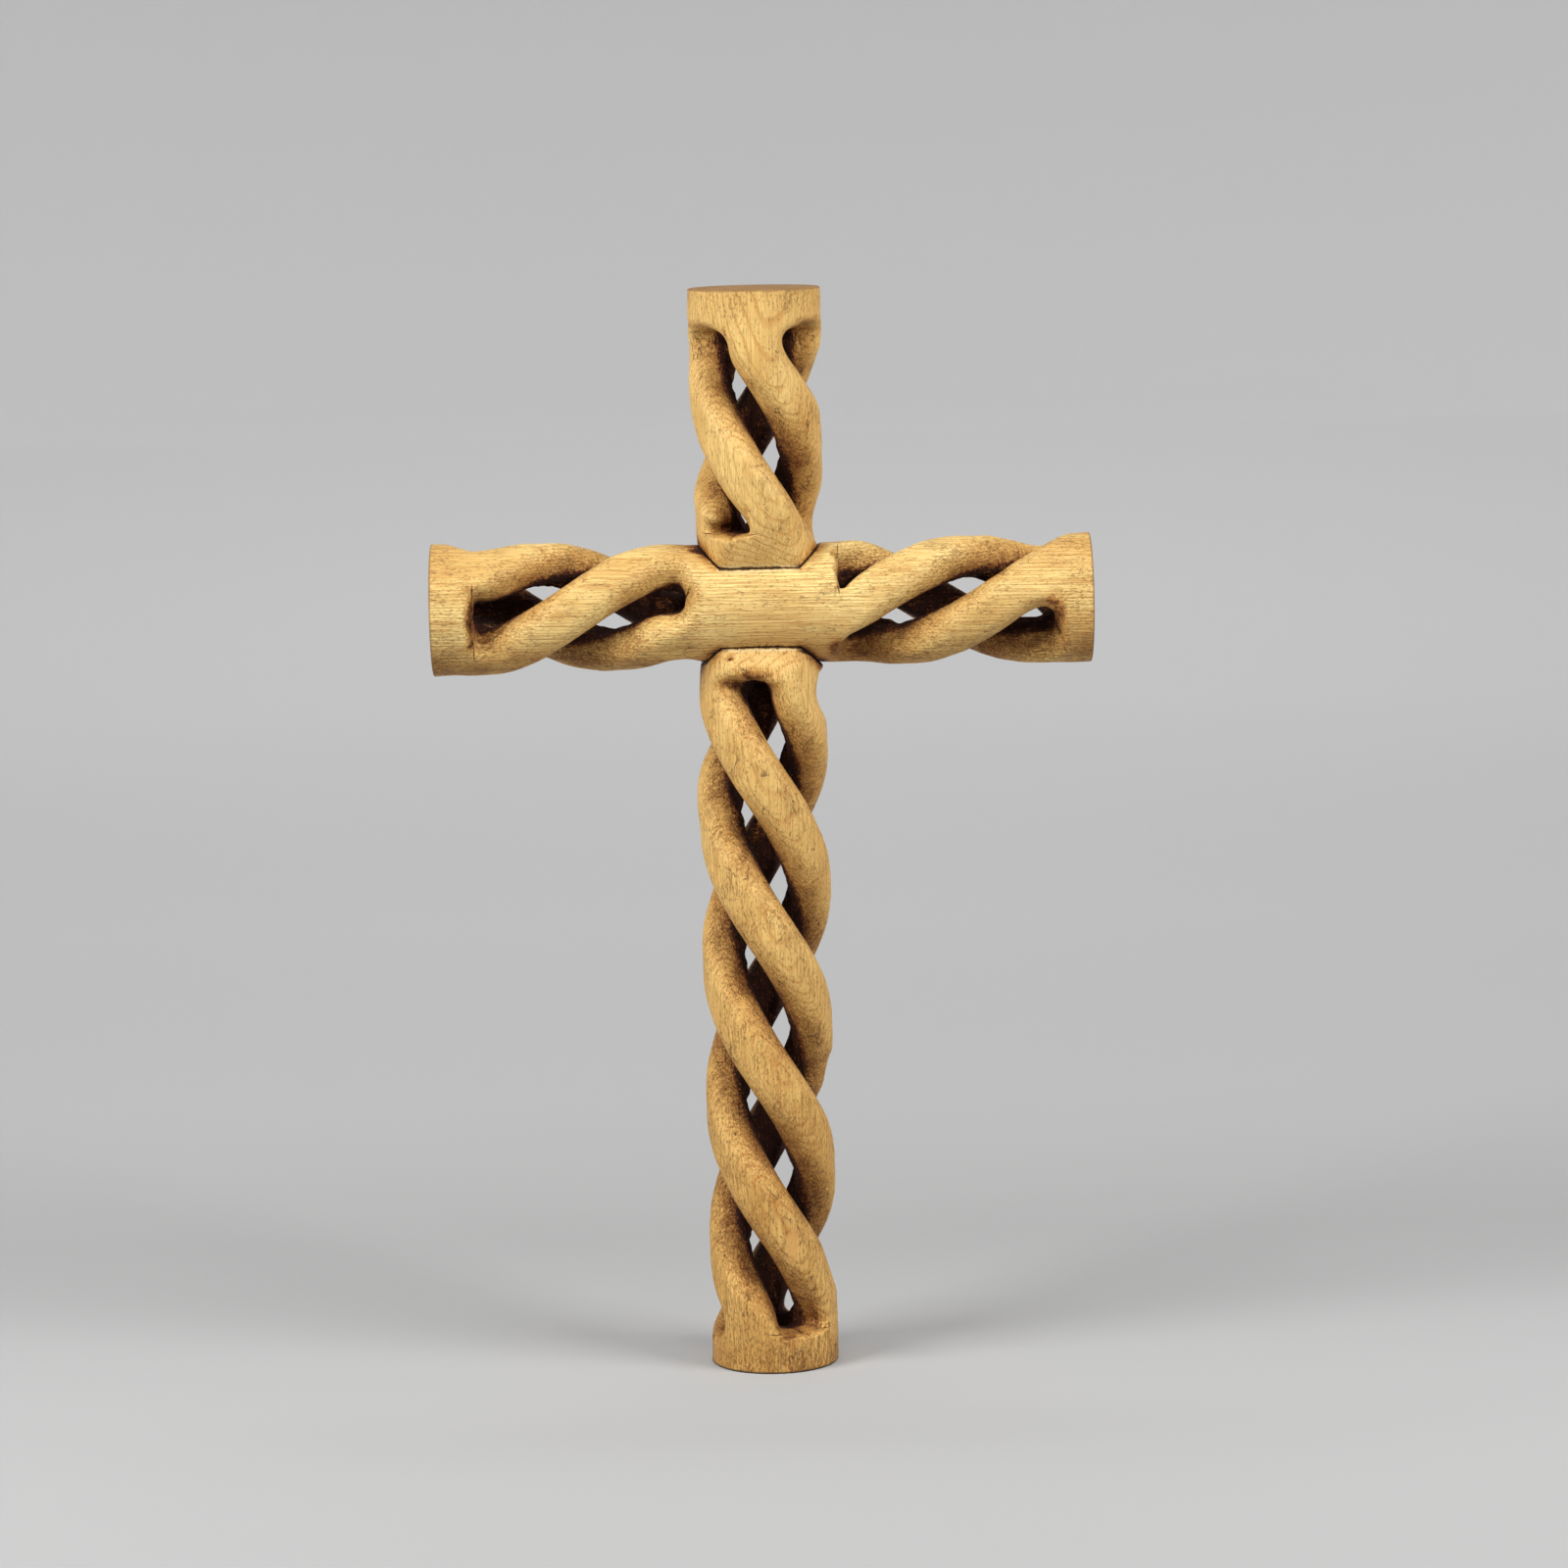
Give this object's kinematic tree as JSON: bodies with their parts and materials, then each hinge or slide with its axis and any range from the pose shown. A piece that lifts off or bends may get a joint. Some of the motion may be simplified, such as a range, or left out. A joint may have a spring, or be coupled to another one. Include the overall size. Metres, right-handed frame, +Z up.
{
  "type": "carved wood cross",
  "caption": "Standing Latin cross of pale wood: two round staves of open three-strand barley twist halved together, with solid collars at the ends.",
  "frame": {"origin": "centre of the foot's flat underside", "axes": "+Z up along the upright, +X along the crossbar to the right seen from the front, -Y towards the front"},
  "size_m": [0.2415, 0.0486, 0.4],
  "materials": {
    "upright_wood": "waxed, hand-carved, dark stain left in the hollows",
    "crossbar_wood": "waxed, hand-carved, dark stain left in the hollows"
  },
  "bodies": {
    "root": {"upright": "upright_wood", "crossbar": "crossbar_wood"}
  },
  "joints": []
}
